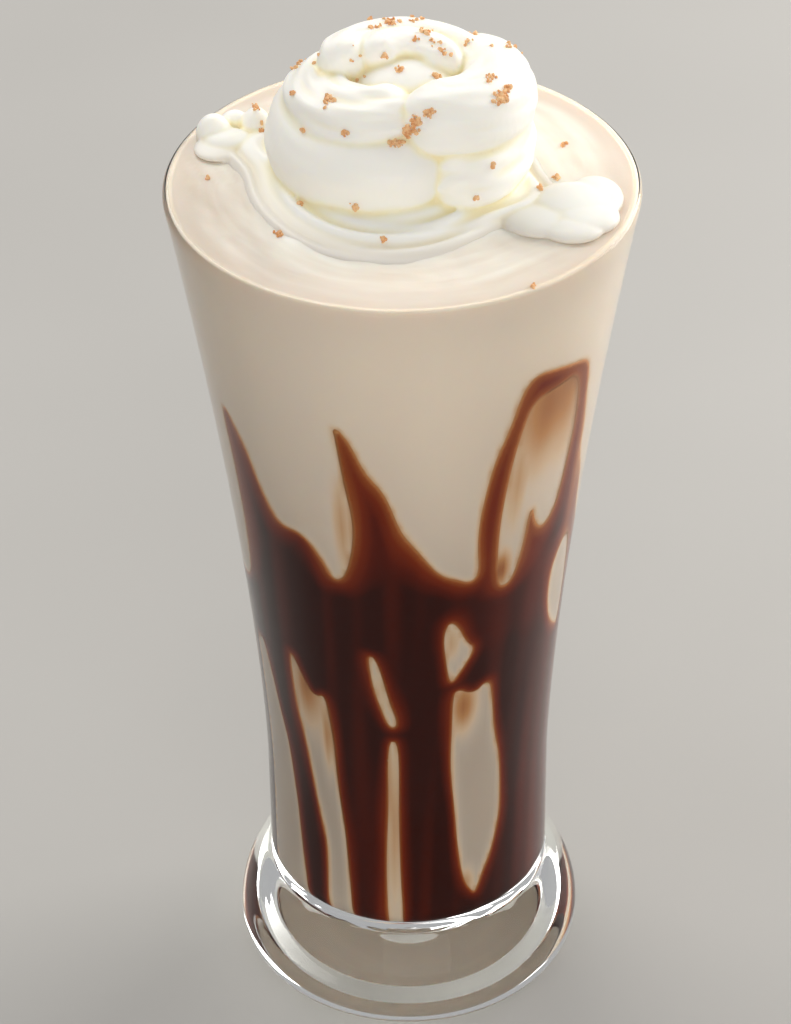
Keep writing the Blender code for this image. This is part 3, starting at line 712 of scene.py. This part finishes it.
def syrup_fields(azimuth, height):
    """Over the unrolled wall: distance into the syrup in metres, its thickness with painted light from the
    right, and the stain beside it.
    """
    azimuth = azimuth - RUN_LEAN * (height - LEAN_LEVEL)
    edge = FRONT_EDGE + BACK_EDGE
    band = edge + [(edge[0][0] + 360, edge[0][1])]
    band = [(edge[-1][0] - 360, edge[-1][1])] + band + [(edge[1][0] + 360, edge[1][1])]
    band += [(band[-1][0] + BAND_MARGIN, BAND_BOTTOM), (band[0][0] - BAND_MARGIN, BAND_BOTTOM)]
    scale = np.array([METRES_PER_DEGREE, 1])
    x = azimuth * METRES_PER_DEGREE
    depth = -signed_distance(x, height, smooth_outline(band) * scale)
    below_edge = depth
    for outline in FRONT_GAPS + BACK_GAPS:
        depth = np.minimum(depth, signed_distance(x, height, smooth_outline(outline) * scale))
    draw = random.Random(SYRUP_SEED)
    depth += waviness(azimuth, height, draw, EDGE_WAVES)
    reach = CORE_REACH + CORE_REACH_HIGH * smooth_step(height, *HIGH_RUNS)
    core = np.clip(depth / reach, 0, 1) ** CORE_POWER
    thickness_and_light = EDGE_THICKNESS + (1 - EDGE_THICKNESS) * core
    thickness_and_light += waviness(azimuth, height * CORE_WAVES_STRETCH, draw, CORE_WAVES) * core
    in_runs = smooth_step(azimuth, *RUN_PAINTED_LIGHT_AZIMUTHS) * smooth_step(height, *RUN_PAINTED_LIGHT_HEIGHTS)
    at_side = smooth_step(azimuth, *SIDE_PAINTED_LIGHT_START) * (1 - smooth_step(azimuth, *SIDE_PAINTED_LIGHT_END))
    # Painted light: thinner, so lighter and redder, where light from the right would shine through the syrup
    thickness_and_light -= (RUN_PAINTED_LIGHT * in_runs + SIDE_PAINTED_LIGHT * at_side) * core
    film = np.zeros(azimuth.shape)
    for centre, level, half_width, half_height, strength in FILMS:
        away = ((azimuth - centre) / half_width) ** 2 + ((height - level) / half_height) ** 2
        film = np.maximum(film, strength * np.exp(-away * FILM_FADE))
    film *= 1 + waviness(azimuth, height * FILM_WAVES_STRETCH, draw, FILM_WAVES)
    film *= np.where(azimuth > LOOP_START, smooth_step(below_edge, *FILM_END), 1)
    halo = HALO_STRENGTH * np.exp(np.minimum(depth, 0) / HALO_REACH)
    return depth, np.clip(np.maximum(thickness_and_light, film), 0, 1), np.clip(np.maximum(film, halo), 0, 1)


def syrup_rows():
    """Heights up the inner wall, evenly spaced along its section."""
    rows, z = [], FLOOR_HEIGHT + SYRUP_ABOVE_FLOOR
    while z < SYRUP_TOP_LIMIT:
        rows.append(z)
        slope = (inner_radius(z + SLOPE_STEP) - inner_radius(z)) / SLOPE_STEP
        z += SYRUP_SPACING / math.hypot(1, slope)
    return np.array(rows)


def make_syrup():
    """A thin closed skin on the inner wall whose outline follows the runs and bare places."""
    rows = syrup_rows()
    start = FRONT_EDGE[0][0]
    columns = start + np.arange(SYRUP_COLUMNS) * 360 / SYRUP_COLUMNS
    azimuth, height = np.meshgrid(columns, rows, indexing="ij")
    inside, _, _ = syrup_fields(azimuth, height)
    quads = np.stack([
        inside, np.roll(inside, -1, 0), np.roll(np.roll(inside, -1, 0), -1, 1), np.roll(inside, -1, 1),
    ])[:, :, :-1]
    kept = (quads > 0).sum(0) >= 3
    along = np.gradient(inside, axis=0) / (360 / SYRUP_COLUMNS * METRES_PER_DEGREE)
    upward = np.gradient(inside, axis=1) / np.gradient(height, axis=1)
    size = np.maximum(along**2 + upward**2, SLOPE_FLOOR)
    near = np.abs(inside) < SYRUP_SPACING * SNAP_REACH
    touching = np.zeros(inside.shape, int)
    for i, j in ((0, 0), (1, 0), (1, 1), (0, 1)):
        touching += np.roll(np.pad(kept, ((0, 0), (0, 1))), (i, j), (0, 1))
    moving = near & (touching > 0) & (touching < 4)
    moved_azimuth = azimuth - np.where(moving, inside * along / size / METRES_PER_DEGREE, 0)
    moved_height = height - np.where(moving, inside * upward / size, 0)
    moved_height = np.clip(moved_height, rows[0], rows[-1])
    _, thickness_and_light, _ = syrup_fields(moved_azimuth, moved_height)
    used = touching > 0
    number = -np.ones(inside.shape, int)
    number[used] = np.arange(used.sum())
    count = int(used.sum())
    points, turn = [], np.radians(moved_azimuth[used])
    for inset in (-SYRUP_OVERLAP, SYRUP_DEPTH):
        radius = np.array([inner_radius(max(z, FLOOR_HEIGHT)) for z in moved_height[used]]) - inset
        points.append(np.stack([radius * np.sin(turn), -radius * np.cos(turn), moved_height[used]], 1))
    corner = [number, np.roll(number, -1, 0), np.roll(np.roll(number, -1, 0), -1, 1), np.roll(number, -1, 1)]
    outer = np.stack([c[:, :-1][kept] for c in corner], 1)
    faces = outer.tolist() + (outer[:, ::-1] + count).tolist()
    edges = {}
    for face in outer.tolist():
        for a, b in zip(face, face[1:] + face[:1]):
            edges[(a, b)] = True
    for a, b in edges:
        if (b, a) not in edges:
            faces.append((b, a, a + count, b + count))
    mesh = mesh_from("chocolate_runs", np.concatenate(points), faces)
    # Thickness together with painted light from the right, for the syrup's colour
    store(mesh, "thickness_and_light", np.tile(thickness_and_light[used], 2))
    piece = link("chocolate_runs", mesh, syrup_material())
    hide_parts("chocolate_syrup")


def fold_path(fold):
    """Points along a fold's middle with the radius there, rounded at both ends."""
    start, end = (math.radians(a) for a in fold["angles"])
    mean = sum(fold["distances"]) / 2
    length = abs(end - start) * mean
    path = []
    for share in steps(0, 1, FOLD_POINTS):
        share = 0.5 - 0.5 * math.cos(share * math.pi)
        angle = start + (end - start) * share
        ends = (fold["distances"], fold["heights"], fold["radii"])
        distance, height, radius = (first + (last - first) * share for first, last in ends)
        height += fold["rise"] * math.sin(share * math.pi)
        to_end = min(share, 1 - share) * length / radius
        if to_end < 1:
            radius *= math.sqrt(max(1 - (1 - to_end) ** 2, FOLD_TIP))
        x = fold["centre"][0] + distance * math.cos(angle)
        y = fold["centre"][1] + distance * math.sin(angle)
        path.append((np.array([x, y, CREAM_BASE + height]), radius))
    return path


def fold_mesh(fold):
    """A rope of cream with soft ridges along it that twist a little."""
    path = fold_path(fold)
    centres = np.array([p for p, _ in path])
    tangents = np.gradient(centres, axis=0)
    points = []
    for place, ((centre, radius), tangent) in enumerate(zip(path, tangents)):
        tangent = tangent / np.linalg.norm(tangent)
        side = np.cross(tangent, (0, 0, 1))
        side /= np.linalg.norm(side)
        upward = np.cross(side, tangent)
        for k in range(FOLD_SIDES):
            turn = 2 * math.pi * k / FOLD_SIDES
            swell = radius
            for count, depth, twist in RIDGES:
                wave = math.cos(count * turn + twist * count * place / FOLD_POINTS)
                swell += radius * depth * fold["ridges"] * wave
            points.append(centre + swell * (math.cos(turn) * side + math.sin(turn) * upward))
    rings = len(path)
    faces = [list(range(FOLD_SIDES))[::-1], list(range((rings - 1) * FOLD_SIDES, rings * FOLD_SIDES))]
    for i in range(rings - 1):
        for k in range(FOLD_SIDES):
            a, b = i * FOLD_SIDES + k, i * FOLD_SIDES + (k + 1) % FOLD_SIDES
            faces.append((a, b, b + FOLD_SIDES, a + FOLD_SIDES))
    return points, faces


def skirt_radius(direction):
    """How far the melted skirt reaches in a direction, in degrees, with its lobes."""
    reach = SKIRT_RADIUS + SKIRT_RIPPLE * math.sin(math.radians(3 * direction))
    for towards, extra, spread in SKIRT_LOBES:
        away = (direction - towards + 180) % 360 - 180
        reach += extra * math.exp(-((away / spread) ** 2))
    return reach


def ball_mesh(centre, sizes):
    """A stretched ball, for the core and the dabs."""
    shape = bmesh.new()
    bmesh.ops.create_icosphere(shape, subdivisions=5, radius=1)
    points = []
    for vert in shape.verts:
        points.append([c + s * v for c, s, v in zip(centre, sizes, vert.co)])
    faces = [[v.index for v in face.verts] for face in shape.faces]
    shape.free()
    return points, faces


def skirt_mesh():
    """A low dome of melted cream, rippled round the folds."""
    shape = bmesh.new()
    bmesh.ops.create_uvsphere(shape, u_segments=180, v_segments=90, radius=1)
    points = []
    for vert in shape.verts:
        flat = math.hypot(vert.co.x, vert.co.y)
        angle = math.atan2(vert.co.y, vert.co.x)
        reach = skirt_radius(math.degrees(angle)) * flat
        height = CREAM_BASE - SKIRT_SINK
        if vert.co.z > 0:
            slope = vert.co.z**SKIRT_EDGE_POWER
            wander = STREAK_WANDER[0] * math.cos(angle) + STREAK_WANDER[1] * math.cos(2 * angle)
            streak = math.cos(flat * STREAK_RINGS[0] + wander)
            streak += STREAK_SECOND * math.cos(flat * STREAK_RINGS[1] - 2 * angle)
            height += (SKIRT_HEIGHT + SKIRT_SINK) * slope
            height += SKIRT_STREAK * streak * min(1, slope * STREAK_FADE)
        x, y = SKIRT_CENTRE[0] + reach * math.cos(angle), SKIRT_CENTRE[1] + reach * math.sin(angle)
        points.append((x, y, height))
    faces = [[v.index for v in face.verts] for face in shape.faces]
    shape.free()
    return points, faces


def make_cream():
    """The folds, core, skirt and dabs joined into one soft body."""
    points, faces = [], []
    bodies = [skirt_mesh(), ball_mesh((*CORE_CENTRE, CREAM_BASE), CORE_SIZES)]
    bodies += [fold_mesh(fold) for fold in FOLDS.values()]
    bodies += [ball_mesh((x, y, CREAM_BASE), sizes) for (x, y), sizes in DABS + DAB_LOBES]
    for body_points, body_faces in bodies:
        first = len(points)
        points += [tuple(p) for p in body_points]
        faces += [[first + i for i in face] for face in body_faces]
    rough = bpy.data.objects.new("rough_cream", mesh_from("rough_cream", points, faces))
    bpy.context.scene.collection.objects.link(rough)
    remesh = rough.modifiers.new("Join", "REMESH")
    remesh.mode = "VOXEL"
    remesh.voxel_size = CREAM_VOXEL
    smooth = rough.modifiers.new("Soften", "SMOOTH")
    smooth.factor = SOFTEN
    smooth.iterations = SOFTEN_ROUNDS
    bpy.context.view_layer.update()
    mesh = bpy.data.meshes.new_from_object(rough.evaluated_get(bpy.context.evaluated_depsgraph_get()))
    bpy.data.objects.remove(rough)
    mesh.name = "cream_swirl"
    mark_hollows(mesh)
    piece = link("cream_swirl", mesh, cream_material())
    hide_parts("whipped_cream")
    return piece


def mark_hollows(mesh):
    """Stores how far each point lies below its smoothed surroundings: 0.5 is level, more is a crease, which
    the material darkens as painted shade.
    """
    count = len(mesh.vertices)
    place = np.empty(count * 3)
    mesh.vertices.foreach_get("co", place)
    place = place.reshape(-1, 3)
    normal = np.empty(count * 3)
    mesh.vertices.foreach_get("normal", normal)
    normal = normal.reshape(-1, 3)
    ends = np.empty(len(mesh.edges) * 2, np.int32)
    mesh.edges.foreach_get("vertices", ends)
    ends = ends.reshape(-1, 2)
    links = np.bincount(ends.reshape(-1), minlength=count)[:, None]
    soft = place.copy()
    for _ in range(HOLLOW_ROUNDS):
        total = np.zeros_like(soft)
        for axis in range(3):
            total[:, axis] = np.bincount(ends[:, 0], soft[ends[:, 1], axis], count)
            total[:, axis] += np.bincount(ends[:, 1], soft[ends[:, 0], axis], count)
        soft = total / links
    crease_shade = ((soft - place) * normal).sum(1)
    # Depth of the creases, which drives painted shade in the material
    store(mesh, "crease_shade", np.clip(0.5 + crease_shade / HOLLOW_DEPTH, 0, 1))
    above = place[:, 2] - CREAM_BASE
    store(mesh, "melt", np.clip(FOOT_BLEND - above / FOOT_BLEND_HEIGHT, 0, 1) * FOOT_BLEND_STRENGTH)


def camera_turn():
    """The camera's turn: down by its pitch, a little to the side, and rolled about its own axis."""
    look = Euler((math.radians(90 - CAMERA_PITCH), 0, math.radians(CAMERA_YAW))).to_matrix()
    return look @ Matrix.Rotation(math.radians(CAMERA_ROLL), 3, "Z")


def view_ray(pixel):
    """The direction from the camera through a pixel of the photograph."""
    across = (pixel[0] - PHOTO_WIDTH / 2) * SENSOR / PHOTO_HEIGHT / CAMERA_LENS
    upward = (PHOTO_HEIGHT / 2 - pixel[1]) * SENSOR / PHOTO_HEIGHT / CAMERA_LENS
    return (camera_turn() @ Vector((across, upward, -1))).normalized()


def grain(draw, place, normal, size):
    """One irregular crumb, partly sunk into the surface."""
    shape = bmesh.new()
    bmesh.ops.create_icosphere(shape, subdivisions=1, radius=1)
    stretch = Vector([draw.uniform(*limits) for limits in GRAIN_STRETCH])
    turn = Euler([draw.uniform(0, RANDOM_TURN) for _ in range(3)]).to_matrix()
    centre = place + normal * size * GRAIN_LIFT
    points = []
    for vert in shape.verts:
        points.append(centre + turn @ (stretch * vert.co * draw.uniform(*GRAIN_UNEVEN)) * size)
    faces = [[v.index for v in face.verts] for face in shape.faces]
    shape.free()
    return points, faces


def make_crumbs(cream):
    """Clumps of crumbs where the photograph shows them, and a few more over the back."""
    draw = random.Random(CRUMB_SEED)
    shape = bmesh.new()
    shape.from_mesh(cream.data)
    shape.from_mesh(bpy.data.objects["smoothie_drink"].data)
    surface = BVHTree.FromBMesh(shape)
    shape.free()
    found = []
    for (x, y), spread, count in CRUMB_CLUMPS:
        for _ in range(round(count * CRUMB_CROWDING)):
            pixel = (draw.gauss(x, spread / CLUMP_ACROSS), draw.gauss(y, spread / CLUMP_UP))
            found.append(surface.ray_cast(Vector(CAMERA_PLACE), view_ray(pixel)))
    for _ in range(BACK_CRUMBS):
        angle = math.radians(draw.uniform(*BACK_DIRECTIONS))
        distance = SKIRT_RADIUS * draw.uniform(*BACK_DISTANCES)
        middle = Vector((distance * math.cos(angle), distance * math.sin(angle), 1))
        for _ in range(draw.randint(*BACK_GRAINS)):
            start = middle + Vector((draw.gauss(0, BACK_SPREAD), draw.gauss(0, BACK_SPREAD), 0))
            found.append(surface.ray_cast(start, Vector((0, 0, -1))))
    points, faces = [], []
    for place, normal, _, _ in found:
        if place is None or place.z < DRINK_LEVEL - CRUMB_DEPTH:
            continue
        grain_points, grain_faces = grain(draw, place, normal, draw.uniform(*CRUMB_SIZES))
        faces += [[len(points) + i for i in face] for face in grain_faces]
        points += grain_points
    piece = link("crumbs", mesh_from("crumbs", points, faces), crumb_material())
    piece.data.shade_flat()
    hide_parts("whipped_cream")


def make_stage():
    """A plain pale floor, soft lights and the camera."""
    bpy.ops.mesh.primitive_plane_add(size=FLOOR_SIZE)
    floor = bpy.context.object
    floor.name = "floor"
    floor.location.z = -FLOOR_CLEARANCE
    nodes = Nodes("floor")
    nodes.set(Roughness=0.6, Specular_IOR_Level=0.3)
    patches = nodes.noise(scale=6, detail=2)
    nodes.colour(nodes.ramp(patches, [(0.3, srgb(170, 168, 164)), (0.7, srgb(176, 174, 170))]))
    floor.data.materials.append(nodes.material)

    world = bpy.data.worlds.new("studio")
    bpy.context.scene.world = world
    world.use_nodes = True
    world.node_tree.nodes["Background"].inputs["Color"].default_value = WORLD_COLOUR
    world.node_tree.nodes["Background"].inputs["Strength"].default_value = WORLD_STRENGTH

    for name, place, size, power, colour in LIGHTS:
        light = bpy.data.lights.new(name, "AREA")
        light.size = size
        light.energy = power
        light.color = colour
        lamp = bpy.data.objects.new(name, light)
        lamp.location = place
        lamp.rotation_euler = (Vector(LIGHTS_AIM) - lamp.location).to_track_quat("-Z", "Y").to_euler()
        bpy.context.scene.collection.objects.link(lamp)

    camera = bpy.data.objects.new("camera", bpy.data.cameras.new("camera"))
    camera.data.lens = CAMERA_LENS
    camera.data.sensor_width = SENSOR
    camera.data.clip_start = CLIP_START
    camera.location = CAMERA_PLACE
    camera.rotation_euler = camera_turn().to_euler()
    bpy.context.scene.collection.objects.link(camera)
    bpy.context.scene.camera = camera
    bpy.context.scene.view_settings.view_transform = "Standard"


make_glass()
make_smoothie()
make_syrup()
make_crumbs(make_cream())
make_stage()
